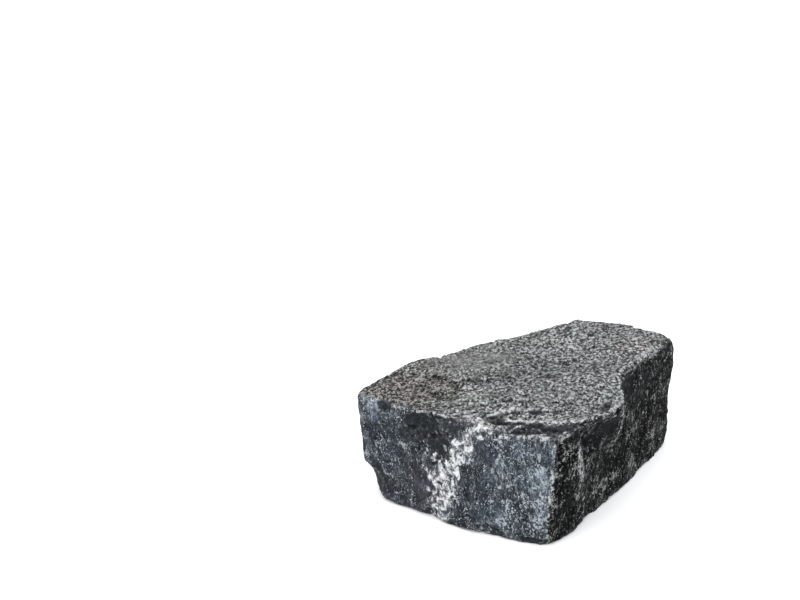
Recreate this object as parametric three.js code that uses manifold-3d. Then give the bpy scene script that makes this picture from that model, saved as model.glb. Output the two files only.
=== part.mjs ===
// A rough block of quarried dark limestone, broken on every side, about 200 mm across and 75 mm high.
// The stone is one solid: a convex block, a lump that overhangs the right wall, and the scars of
// chips that came away. Its surface is then made finer and roughened.
// Millimetres, +Z up, with the stone resting on z = 0. The corners are measured from the front toe,
// the lowest corner at the front, and the finished stone is centred over the origin at the end.

import * as THREE from "three";
import { ConvexGeometry } from "three/addons/geometries/ConvexGeometry.js";
import { ImprovedNoise } from "three/addons/math/ImprovedNoise.js";
import { mergeVertices } from "three/addons/utils/BufferGeometryUtils.js";
import Module from "manifold-3d";

const wasm = await Module();
wasm.setup();

// Driving dimensions
const TOP_HEIGHT = 74; // the top face, above its front corner
const TOP_RISE_TO_RIGHT = 0.033; // slope of the top face along +X
const TOP_FALL_TO_BACK = 0.019; // slope of the top face along +Y
const TOP_FRONT_CORNER = [16.9, 8.2]; // where the top face is TOP_HEIGHT high
const SHOULDER_HEIGHT = 66; // the front edge, below the bevel that cuts its corner
const OVERRUN = 4; // how far the uncut shapes reach above the top face
const SCAR_GRASP = 15; // how far off its middle's level a scar still marks the surface
const SHORTEST_EDGE = 1.5; // of all the triangles, before the surface is roughened
const LONGEST_EDGE = 6.6; // of the triangles that can be seen
const LONGEST_EDGE_UNDER = 12; // of the triangles the stone rests on
const CUTTER_WIDTH = 600; // of the box that cuts along a plane, far wider than the stone
const CUTTER_THICKNESS = 200;

// The point of the top face over a place, less a drop.
function rim(x, y, drop = 0) {
  const [cornerX, cornerY] = TOP_FRONT_CORNER;
  const rise = TOP_RISE_TO_RIGHT * (x - cornerX) - TOP_FALL_TO_BACK * (y - cornerY);
  return [x, y, TOP_HEIGHT + rise - drop];
}

// Corners where the walls meet the ground. The back ones are a little clear of it.
const TOES = [
  [-6, 6, 0], [29, 34, 0], [42, 51, 0], [60.5, 78, 0], [80, 110, 0], [86, 120, 0], [84, 127, 1],
  [64, 139, 4], [30, 145, 7], [-22, 128, 4], [-64, 98, 5], [-92, 70, 3], [-98, 51, 0], [-84, 40, 0],
  [-42, 11.5, 0],
];

// Corners part of the way up the walls: the front edge, the right wall, the back and the left end.
const WALL_CORNERS = [
  [-6, 7, SHOULDER_HEIGHT], [-16, 9, SHOULDER_HEIGHT + 2], [85, 116, 66], [86, 119, 22], [82, 130, 40],
  [52, 152, 46], [8, 150, 40], [-46, 118, 34], [-88, 88, 38], [-109, 60, 58], [-106.5, 55, 26],
];

// The outline of the top face, from the front round to the left.
const TOP_OUTLINE = [
  rim(-18, 13), rim(8, 14), rim(46, 75), rim(83.2, 117), rim(83.2, 122), rim(76.5, 127.6),
  rim(59.5, 142), rim(45.5, 150), rim(12, 149), rim(-20, 133), rim(-57.3, 108.3), rim(-82.1, 91.4),
  rim(-98.1, 71.6), rim(-105.7, 65), rim(-107.8, 54.3), rim(-87.5, 40.6), rim(-66.6, 25.3), rim(-42.5, 13),
];

// The buttress at the front corner: its front wall, the bevel above that, and the facet to the right,
// whose far edge is a ridge that leans out from the toe up to the top face.
const BUTTRESS = [
  [-41, 12, 0], [-6, -1, 0], [1.5, -0.5, 0], [8.5, 5.5, 0], [15.5, 13, 0],
  [0, 0, SHOULDER_HEIGHT], [-16, 5, SHOULDER_HEIGHT + 3], [-41, 12.8, SHOULDER_HEIGHT + 4],
  [22, 23.5, 0], [23, 28, 13.7], [19, 18.4, 40], [17, 11.5, 57], rim(...TOP_FRONT_CORNER),
  rim(-18, 9.7), rim(-36, 20), rim(8, 18), [-30, 36, 0], [-30, 36, 50], [8, 40, 10],
];

// The lump that overhangs the right wall: its outline on the top face, and its lower corners. The last
// corners of each are sunk in the block.
const LUMP_OUTLINE = [
  rim(13, 10.5), rim(31, 22.5), rim(39, 31.5), rim(42.4, 40), rim(44, 52), rim(45, 73), rim(10, 70),
  rim(-6, 24),
];
const LUMP_CORNERS = [
  [33.5, 20.5, 69.5], [41.5, 30.5, 69], [43.5, 39, 68], [30.3, 31, 43], [42.5, 48, 39], [46.3, 50, 46],
  [20, 60, 55], [22, 50, 42], [4, 30, 50],
];

// Flat breaks across the back: each one's middle and the way it faces.
const BREAKS = [
  { at: [64, 143, 26], facing: [0.5, 0.8, -0.3] },
  { at: [4, 148, 14], facing: [-0.05, 0.85, -0.5] },
  { at: [-70, 98, 16], facing: [-0.62, 0.68, -0.38] },
  { at: [-98, 80, 52], facing: [-0.75, 0.6, 0.3] },
  { at: [50, 151.5, 64], facing: [0.15, 0.85, 0.5] },
];

// A closed three.js geometry as a solid that can be cut.
function solid(geometry) {
  const bare = geometry.clone();
  bare.deleteAttribute("normal");
  bare.deleteAttribute("uv");
  const merged = mergeVertices(bare, 1e-3);
  return new wasm.Manifold(new wasm.Mesh({
    numProp: 3,
    vertProperties: merged.attributes.position.array,
    triVerts: new Uint32Array(merged.index.array),
  }));
}

// The convex solid that has these corners.
function hull(corners) {
  return solid(new ConvexGeometry(corners.map((corner) => new THREE.Vector3(...corner))));
}

// Corners of the top face a little too high, to be cut level with it.
function raised(corners) {
  return corners.map(([x, y]) => rim(x, y, -OVERRUN));
}

// Everything beyond a plane.
function beyond({ at, facing }) {
  const box = new THREE.BoxGeometry(CUTTER_WIDTH, CUTTER_WIDTH, CUTTER_THICKNESS);
  box.translate(0, 0, CUTTER_THICKNESS / 2);
  const up = new THREE.Vector3(0, 0, 1);
  const outward = new THREE.Vector3(...facing).normalize();
  box.applyQuaternion(new THREE.Quaternion().setFromUnitVectors(up, outward));
  box.translate(...at);
  return solid(box);
}

// The strip of the top face that broke off along the front, lower than the rest by a thin step that
// dies out to the right.
function frontTerrace() {
  const step = [
    [-41, 20, 0.8], [-36, 24, 2], [-26, 28, 2.3], [-18.3, 29.6, 2.3],
    [-2.5, 27, 2], [6, 24, 1.6], [16, 18, 0.8], [24, 12, 0.4],
  ];
  const lip = [[-46, 6, 0.8], [-20, 0, 1.6], [16, -2, 1.4], [28, 4, 0.8]];
  const floor = [...step, ...lip].map((corner) => rim(...corner));
  return hull([...floor, ...floor.map(([x, y]) => rim(x, y, -2 * OVERRUN))]);
}

// The slab missing from the upper part of the back, which leaves a shelf that dies out at both ends.
function backLedge() {
  const riser = [[-92, 87.5, 48], [52, 163.6, 38], [-94, 86.5, 90], [50, 162.6, 90]];
  const outside = [[-112, 128, 40], [32, 204, 30], [-112, 128, 90], [32, 204, 90]];
  return hull([...riser, ...outside]);
}

// The wedge missing under the left end, which leaves a facet that leans in to the toe.
function leftToeChip() {
  return hull([
    [-108, 52, 27], [-94, 44, 17], [-95, 45, -2], [-112, 40, 30], [-112, 40, -2],
    [-97, 62, -2], [-106, 74, 20], [-116, 64, 30], [-116, 64, -2],
  ]);
}

// The thin sliver missing from under the front toe.
function frontToeChip() {
  return hull([[-17, 2, -2], [-15, -1, 2], [-2, -4, 2.4], [-2, 3, -2], [-8, -8, 2.5], [-8, -8, -2]]);
}

// Shallow round hollows that flakes left: each one's middle, the way it faces, its width along the
// stone, its height, its depth, and how far it is rolled about the line it faces along.
const SCARS = [
  // On the left and front walls
  { at: [-71, 28.5, 56], facing: [-0.53, -0.82, 0.2], width: 33, height: 29, depth: 3.4, roll: 20 },
  { at: [-88, 40, 69], facing: [-0.5, -0.6, 0.6], width: 12, height: 7, depth: 2 },
  { at: [-33, 11, 71], facing: [-0.2, -0.7, 0.7], width: 17, height: 9, depth: 2.4 },
  // On the right wall
  { at: [31, 22, 60], facing: [0.72, -0.68, -0.1], width: 26, height: 24, depth: 2.6, roll: -20 },
  { at: [25.5, 36.5, 24], facing: [0.82, -0.57, 0], width: 18, height: 60, depth: 2.2 },
  { at: [52, 74, 34], facing: [0.82, -0.57, -0.1], width: 48, height: 44, depth: 1.8, roll: 15 },
  // Round the back
  { at: [68, 138, 60], facing: [0.65, 0.7, 0.3], width: 34, height: 24, depth: 3 },
  { at: [22, 152, 34], facing: [0.15, 0.98, -0.1], width: 56, height: 40, depth: 5, roll: 15 },
  { at: [-26, 134, 52], facing: [-0.45, 0.88, 0.15], width: 44, height: 28, depth: 4 },
  { at: [-62, 107, 26], facing: [-0.55, 0.8, -0.2], width: 46, height: 30, depth: 4, roll: -25 },
  { at: [-98, 78, 50], facing: [-0.75, 0.62, 0.2], width: 30, height: 24, depth: 3 },
  // Underneath
  { at: [-20, 70, 0], facing: [0.05, 0.05, -1], width: 52, height: 38, depth: 2.4 },
  { at: [42, 104, 0], facing: [-0.05, 0.05, -1], width: 36, height: 26, depth: 2 },
  // In the top face
  { at: rim(-32, 66), facing: [0, 0.02, 1], width: 70, height: 34, depth: 1.4, roll: 30 },
  { at: rim(20, 112), facing: [0, 0, 1], width: 60, height: 36, depth: 1.4 },
];

// A solid's corners and triangles as plain lists.
function surfaceOf(shape) {
  const mesh = shape.getMesh();
  const points = [];
  for (let i = 0; i < mesh.numVert; i++)
    points.push(new THREE.Vector3().fromArray(mesh.vertProperties, i * mesh.numProp));
  const faces = [];
  for (let i = 0; i < mesh.triVerts.length; i += 3) faces.push([...mesh.triVerts.subarray(i, i + 3)]);
  return { points, faces };
}

// The three edges of a triangle, each followed by the corner opposite it.
const turns = ([a, b, c]) => [[a, b, c], [b, c, a], [c, a, b]];

// Joins the ends of every edge that is shorter than the limit.
function weld({ points, faces }, limit) {
  for (const face of faces)
    for (const [a, b] of turns(face)) {
      if (points[a].distanceTo(points[b]) >= limit) continue;
      const cornersNear = (end) => new Set(faces.filter((other) => other.includes(end)).flat());
      const [nearA, nearB] = [cornersNear(a), cornersNear(b)];
      const shared = [...nearA].filter((corner) => nearB.has(corner) && corner !== a && corner !== b);
      if (shared.length !== 2) continue;
      const joined = faces.map((other) => other.map((corner) => (corner === b ? a : corner)));
      return weld({ points, faces: joined.filter((other) => new Set(other).size === 3) }, limit);
    }
  return { points, faces };
}

// Swaps the diagonal of each flat pair of triangles where that makes them less thin.
function fatten({ points, faces }) {
  const owners = new Map();
  faces.forEach((face, i) => turns(face).forEach(([a, b]) => owners.set(`${a} ${b}`, i)));
  const ray = (from, to) => points[to].clone().sub(points[from]);
  const normal = (a, b, c) => ray(a, b).cross(ray(a, c)).normalize();
  const changed = new Set();
  faces.forEach((face, i) => {
    for (const [a, b, c] of turns(face)) {
      const j = owners.get(`${b} ${a}`);
      if (changed.has(i) || changed.has(j)) continue;
      const d = faces[j].find((corner) => corner !== a && corner !== b);
      if (owners.has(`${c} ${d}`) || owners.has(`${d} ${c}`)) continue;
      const thin = ray(c, a).angleTo(ray(c, b)) + ray(d, a).angleTo(ray(d, b)) > Math.PI + 1e-3;
      const bent = Math.abs(normal(a, b, c).dot(ray(a, d))) > 0.02;
      if (!thin || bent) continue;
      [faces[i], faces[j]] = [[a, d, c], [d, b, c]];
      owners.set(`${c} ${d}`, i);
      changed.add(i).add(j);
    }
  });
  return changed.size ? fatten({ points, faces }) : { points, faces };
}

// Halves the longest edge of each triangle until no edge is longer than its limit.
function divide(surface) {
  const { points, faces } = fatten(surface);
  const middles = new Map();
  const key = (a, b) => (a < b ? `${a} ${b}` : `${b} ${a}`);
  const length = ([a, b]) => points[a].distanceTo(points[b]);
  for (const face of faces) {
    const resting = face.every((corner) => points[corner].z < 0.01);
    const limit = resting ? LONGEST_EDGE_UNDER : LONGEST_EDGE;
    const [a, b] = turns(face).sort((one, two) => length(two) - length(one))[0];
    if (length([a, b]) <= limit || middles.has(key(a, b))) continue;
    middles.set(key(a, b), points.length);
    points.push(points[a].clone().lerp(points[b], 0.5));
  }
  if (!middles.size) return { points, faces };
  const middle = (a, b) => middles.get(key(a, b));
  return divide({ points, faces: faces.flatMap((face) => split(face, middle, length)) });
}

// One triangle cut at the middles of its edges, longest edge first.
function split(face, middle, length) {
  const cut = turns(face).filter(([a, b]) => middle(a, b) !== undefined);
  if (!cut.length) return [face];
  cut.sort((one, two) => length(two) - length(one));
  const [a, b, c] = cut[0];
  const m = middle(a, b);
  return [...split([a, m, c], middle, length), ...split([m, b, c], middle, length)];
}

// Pushes a point in where it lies within a scar's outline.
function sink(point, { at, facing, width, height, depth, roll = 0 }) {
  const outward = new THREE.Vector3(...facing).normalize();
  const up = Math.abs(outward.z) > 0.9 ? new THREE.Vector3(0, 1, 0) : new THREE.Vector3(0, 0, 1);
  const along = new THREE.Vector3().crossVectors(up, outward).normalize();
  along.applyAxisAngle(outward, THREE.MathUtils.degToRad(roll));
  const across = new THREE.Vector3().crossVectors(outward, along);
  const offset = point.clone().sub(new THREE.Vector3(...at));
  const reach = Math.hypot(offset.dot(along) / (width / 2), offset.dot(across) / (height / 2));
  if (reach < 1 && Math.abs(offset.dot(outward)) < SCAR_GRASP)
    point.addScaledVector(outward, -depth * (1 - reach * reach));
}

// Smooth noise from -1 to 1 in each direction, with lumps of this size.
const field = new ImprovedNoise();
const SHIFTS = [[11.3, 4.7, 8.1], [31.9, 17.2, 2.6], [7.4, 41.8, 23.5]];
function wander({ x, y, z }, size) {
  const [across, deep, high] = [x / size, y / size, z / size];
  return new THREE.Vector3(...SHIFTS.map(([u, v, w]) => field.noise(across + u, deep + v, high + w)));
}

// How far the broken surface strays from its planes, at each size of lump.
const ROUGHNESS = [{ size: 34, reach: 1.6 }, { size: 15, reach: 1.2 }, { size: 7.5, reach: 0.8 }];
const FLAT_FOOT = 5; // the height over which the roughness fades out above the resting face

function roughen(point) {
  const rise = THREE.MathUtils.smoothstep(point.z, 0, FLAT_FOOT);
  const moved = point.clone();
  for (const { size, reach } of ROUGHNESS) moved.addScaledVector(wander(point, size), reach);
  moved.z = point.z + (moved.z - point.z) * rise;
  return moved;
}

// The whole stone as one geometry.
function stone() {
  const block = hull([...TOES, ...WALL_CORNERS, ...raised(TOP_OUTLINE)]);
  const lump = hull([...LUMP_CORNERS, ...raised(LUMP_OUTLINE)]);
  let shape = block.add(hull(BUTTRESS)).add(lump);
  const topFacing = [-TOP_RISE_TO_RIGHT, TOP_FALL_TO_BACK, 1];
  const above = beyond({ at: rim(...TOP_FRONT_CORNER), facing: topFacing });
  const chips = [frontTerrace(), backLedge(), leftToeChip(), frontToeChip()];
  for (const gone of [above, ...BREAKS.map(beyond), ...chips]) shape = shape.subtract(gone);
  const { points, faces } = weld(divide(surfaceOf(shape)), SHORTEST_EDGE);
  for (const point of points) for (const scar of SCARS) sink(point, scar);
  const geometry = new THREE.BufferGeometry().setFromPoints(points.map(roughen));
  geometry.setIndex(faces.flat());
  return geometry;
}

// Moves a geometry so that its box is centred over the origin and stands on z = 0.
function centred(geometry) {
  geometry.computeBoundingBox();
  const { min, max } = geometry.boundingBox;
  geometry.translate(-(min.x + max.x) / 2, -(min.y + max.y) / 2, -min.z);
  geometry.computeVertexNormals();
  return geometry;
}

const limestone = new THREE.MeshStandardMaterial({
  color: 0x55585b,
  roughness: 0.85,
  metalness: 0,
  flatShading: true,
});

const rock = new THREE.Mesh(centred(stone()), limestone);
rock.name = "rock";

const part = new THREE.Group();
part.add(rock);
export default part;
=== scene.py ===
# A rough block of dark limestone: its broken surface and its material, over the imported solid.
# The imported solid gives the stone's size and its main faces. A copy of it is rebuilt on a fine mesh, and
# the surface is broken up there: flat fracture facets, thin layers on the top, grain, and the chips and
# hollows of the real stone. Masks kept on that mesh, such as worn edges and the pale band, drive the
# one material. Surface work is in millimetres, measured from the front toe, the lowest front corner.

import math
from collections import namedtuple

import bmesh
import bpy
import numpy as np
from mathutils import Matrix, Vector, kdtree, noise


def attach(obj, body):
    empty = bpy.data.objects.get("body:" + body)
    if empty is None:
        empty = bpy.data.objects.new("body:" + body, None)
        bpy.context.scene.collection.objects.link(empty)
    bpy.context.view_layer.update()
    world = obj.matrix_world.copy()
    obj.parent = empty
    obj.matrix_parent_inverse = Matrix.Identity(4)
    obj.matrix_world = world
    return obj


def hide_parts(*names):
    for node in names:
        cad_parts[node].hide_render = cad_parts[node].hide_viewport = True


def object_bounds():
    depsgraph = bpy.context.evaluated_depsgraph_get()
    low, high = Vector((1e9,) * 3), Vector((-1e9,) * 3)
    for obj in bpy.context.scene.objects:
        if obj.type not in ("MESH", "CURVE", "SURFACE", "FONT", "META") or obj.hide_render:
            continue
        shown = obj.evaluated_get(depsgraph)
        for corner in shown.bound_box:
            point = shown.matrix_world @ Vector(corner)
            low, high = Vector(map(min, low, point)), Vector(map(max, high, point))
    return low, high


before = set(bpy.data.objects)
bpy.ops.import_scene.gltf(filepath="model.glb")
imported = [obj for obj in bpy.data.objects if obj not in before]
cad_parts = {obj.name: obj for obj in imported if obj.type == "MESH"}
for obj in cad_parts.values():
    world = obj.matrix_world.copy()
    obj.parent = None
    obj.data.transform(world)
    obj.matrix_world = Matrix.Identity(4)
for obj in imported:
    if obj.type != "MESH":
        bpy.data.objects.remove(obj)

CAD_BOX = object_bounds()

# Sizes, in millimetres
MM = 0.001  # one millimetre in metres
FRONT_TOE = np.array([11.72, -75.0, 0.0])  # the front toe, in the frame
TOP_HEIGHT = 74.0  # the top face, at its front corner
MESH_SIZE = 0.94  # of the fine mesh
INSIDE = 0.05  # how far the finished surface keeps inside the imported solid's box
FLAT_FOOT = 4.0  # the height up to which surface work is held back above the resting face
HELD_FOOT = 0.2  # the height up to which it moves nothing up or down
UNDERCUT = 2.8  # how far the rim of the underside is lifted off the ground, at most
UNDERCUT_REACH = 9.0  # the height over which that lift fades out up the walls
UNDERCUT_LUMPS = 14.0  # of that lift's unevenness
UNDERCUT_AT_TOE = 0.2  # the share of that lift at the front toe and to the right of it
TOE_END = (-12, -34)  # where that share starts to grow, left of the toe, and where it is whole
FRONT_END = (-46, -30)  # where the left wall's colour ends and the front wall's is whole
CRACK_DEPTH = 0.9  # of the dark cracks
WORN_HEIGHT = 0.3  # of the worn lines, above the surface beside them

# Where each of these starts and where it is whole: how far a fine crest, a broad edge or an edge sharp
# enough to chip stands out, in millimetres, how level the top is and how far under its height it reaches,
# and how squarely a face looks the right or the front wall's way
CREST = (0.01, 0.09)
BROAD_EDGE = (0.015, 0.06)
SHARP_EDGE = (0.03, 0.12)
TOP_LEVEL = (0.6, 0.85)
TOP_REACH = (14, 7)
RIGHT_FACING = (0.35, 0.75)
FRONT_FACING = (0.86, 0.95)

# Flat fracture facets, broad ones first: about how wide they are, and the seed of their pattern
Facets = namedtuple("Facets", "size seed")
FACETS = [Facets(12, 3), Facets(5, 5)]
FACET_SHARE = 0.6  # how far each is pulled to its plane, from 0 to 1
FACET_LIMIT = 0.12  # how far a corner is pulled at most, as a share of the facet's width
FACET_WAVER = 0.35  # how far the outline strays, as a share of the width
FACET_TURN = 1.2  # how strongly a turn of the surface starts a new facet

# Small chips shaved off the sharp edges
CHIPS = 380  # how many
CHIP_REACH = (1.5, 5.0)  # from their middles, at least and at most
CHIP_CUT = (0.25, 0.75)  # the share of the mean height over the middle at which they are cut
CHIP_TILT = 0.2  # how much they tilt

# Thin layers on the top
LAYER = 0.6  # the thickness of one
LAYER_RISE = 1.5  # of the slow rise and fall that they follow
LAYER_LUMPS = (30, 13, 30)  # of that rise and fall

# Steps in the top: how far the edge strays along x and y, over what length the ends fade out, how wide
# the edge is, how far ahead of it the top is back at its height, and where it starts to rise
STEP_WAVER = np.array([0.4, 1.6])
STEP_ENDS = 8
STEP_EDGE = 0.8
STEP_REACH = (14, 3)

# Relief of the grain: the sizes of its lumps, one or one for each axis, and their heights
GRAIN_LUMPS, GRAIN_HEIGHT = 2.3, 0.16
SWELL_LUMPS, SWELL_HEIGHT = 5.5, 0.2
STREAK_LUMPS, STREAK_HEIGHT = (2.0, 2.0, 8.0), 0.3
WAVE_LUMPS, WAVE_HEIGHT = (4.5, 4.5, 11), 0.28
RIDGE_SHARPNESS = 2.2  # of the streaks' crests

# How outlines waver: the sizes of the lumps, and how far they shift a hollow's outline, as a share of
# its size, and a line, in millimetres
OUTLINE_LUMPS = 5
WEAR_LUMPS = 3.5
VEIN_LUMPS = 6
PATCH_LUMPS = 9
HOLLOW_WAVER = 0.28
LINE_WAVER = 0.9

# Random patterns: the seed of each, how far apart two seeds lie in the noise, how fast finer lumps grow
# weaker, and how much finer each octave of lumps is than the last
SEEDS = {
    "outlines": 11, "chips": 17, "layers": 21, "grain": 31, "swell": 33, "streaks": 37,
    "waves": 39, "wear": 43, "veins": 47, "patches": 51, "foot": 61,
}
SEED_SHIFT = np.array([7.31, 3.17, 5.73])
OCTAVE_FALL = 0.9
OCTAVE_RATIO = 2.0

TINY = 1e-9  # keeps a division by nothing from failing

# Directions: up, away from the camera, and the way that each wall in view faces
UP = np.array([0.0, 0.0, 1.0])
AWAY = np.array([0.0, 1.0, 0.0])
LEFT_WALL = np.array([-0.58, -0.81, 0.0])
FRONT_WALL = np.array([-0.2, -0.98, 0.0])
RIGHT_WALL = np.array([0.82, -0.57, 0.0])

# Camera, light and floor
CAMERA_AT = np.array([-84.5, -692.5, 460.6])  # from the front toe
CAMERA_PITCH = 24.0  # degrees down
CAMERA_LENS = 65.25  # millimetres
CAMERA_SENSOR = 36  # millimetres wide
SUN_FROM = (-0.22, -0.37, 0.90)  # the way back to the main light
SUN_SOFTNESS = 70.0  # degrees across
SUN_STRENGTH = 2.1
SKY_STRENGTH = 1.35
SKY_WHITE = (0.97, 0.985, 1.0)
FLOOR_WHITE = (0.86, 0.86, 0.865)
FLOOR_REACH = 8.0  # metres from the middle to each side

# A shallow hollow left by a flake: its middle, the way it faces, its width, height and depth, how far it
# is rolled about that way, and how dark it is painted, from 0 to 1: the fresh surface's own dark, and
# painted shade where it lies under a rim or low at the foot.
Hollow = namedtuple("Hollow", "at facing width height depth roll dark")
HOLLOWS = [
    # The smooth dark scar under the rim of the left wall, in four lobes
    Hollow((-71, 31.5, 61), LEFT_WALL, 25, 21, 2.0, 10, 1.0),
    Hollow((-62, 25, 50), LEFT_WALL, 21, 17, 1.6, 0, 1.0),
    Hollow((-79, 36, 51), LEFT_WALL, 15, 13, 1.0, -20, 0.7),
    Hollow((-57, 21, 66), LEFT_WALL, 12, 14, 1.1, 0, 0.7),
    # The notch in the rim at its left
    Hollow((-93.5, 44.5, 65.5), (-0.45, -0.75, 0.5), 10, 8, 1.5, 10, 0.8),
    # Under the step that runs along the front of the top, painted dark as its shade
    Hollow((-26, 19, 70.5), (0, -0.2, 1), 18, 9, 1.5, 0, 1.0),
    Hollow((-36, 22, 71), (0, -0.2, 1), 12, 7, 1.1, 8, 0.6),
    # The bevel above the front wall, in two lobes, and the scallops at its right end
    Hollow((-13, 10.5, 69.6), (0, -0.2, 0.98), 27, 12, 1.6, 3, 1.0),
    Hollow((3, 8.5, 70.3), (0, -0.25, 0.97), 22, 10, 1.5, 14, 1.0),
    Hollow((12.5, 6, 67), (0.45, -0.8, 0.3), 12, 11, 1.6, 20, 0.7),
    Hollow((-3, 0.5, 62), (-0.1, -0.9, 0.45), 11, 9, 1.0, -35, 0.2),
    # The lump's scallop, and the pit in the top beside its rim
    Hollow((31, 26, 58), (0.7, -0.7, -0.1), 27, 27, 1.5, -20, 0.75),
    Hollow((32, 29, 73.5), (0, 0, 1), 7, 12, 1.3, -20, 0.8),
    # Low on the right wall, and at the top of its far end
    Hollow((36, 44, 30), RIGHT_WALL, 18, 34, 1.2, 15, 0.5),
    Hollow((62, 88, 52), RIGHT_WALL, 26, 30, 1.3, -10, 0.4),
    Hollow((81, 112, 72), (0.75, -0.4, 0.5), 16, 10, 1.6, 0, 0.6),
    # The smooth break under the corner of the rim
    Hollow((50.5, 70, 65), RIGHT_WALL, 17, 18, 1.0, 20, 0.9),
    # Under the front toe, painted dark as shade, and under the left end, painted dark as a cast shadow
    Hollow((-8, 1.5, 2.5), (-0.28, -0.9, -0.3), 18, 8, 1.4, 0, 1.0),
    Hollow((-100, 51, 14), (-0.75, -0.45, -0.3), 20, 22, 1.2, 0, 0.9),
    # Nicks in the foot of the left and front walls
    Hollow((-66, 29, 3), (-0.5, -0.7, -0.5), 15, 9, 2.2, 0, 0.6),
    Hollow((-31, 8, 2), (-0.2, -0.8, -0.5), 13, 7, 1.8, 0, 0.5),
    # Round the back
    Hollow((30, 149, 52), (0.1, 0.95, 0.2), 30, 24, 1.8, 10, 0.7),
    Hollow((-40, 124, 30), (-0.5, 0.85, -0.1), 26, 20, 1.6, -15, 0.6),
    Hollow((-86, 92, 44), (-0.6, 0.8, 0), 22, 18, 1.4, 0, 0.6),
]

# A line on the stone: its points, how far it reaches to each side and how strong it is, from 0 to 1.
Line = namedtuple("Line", "points reach strength")

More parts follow.
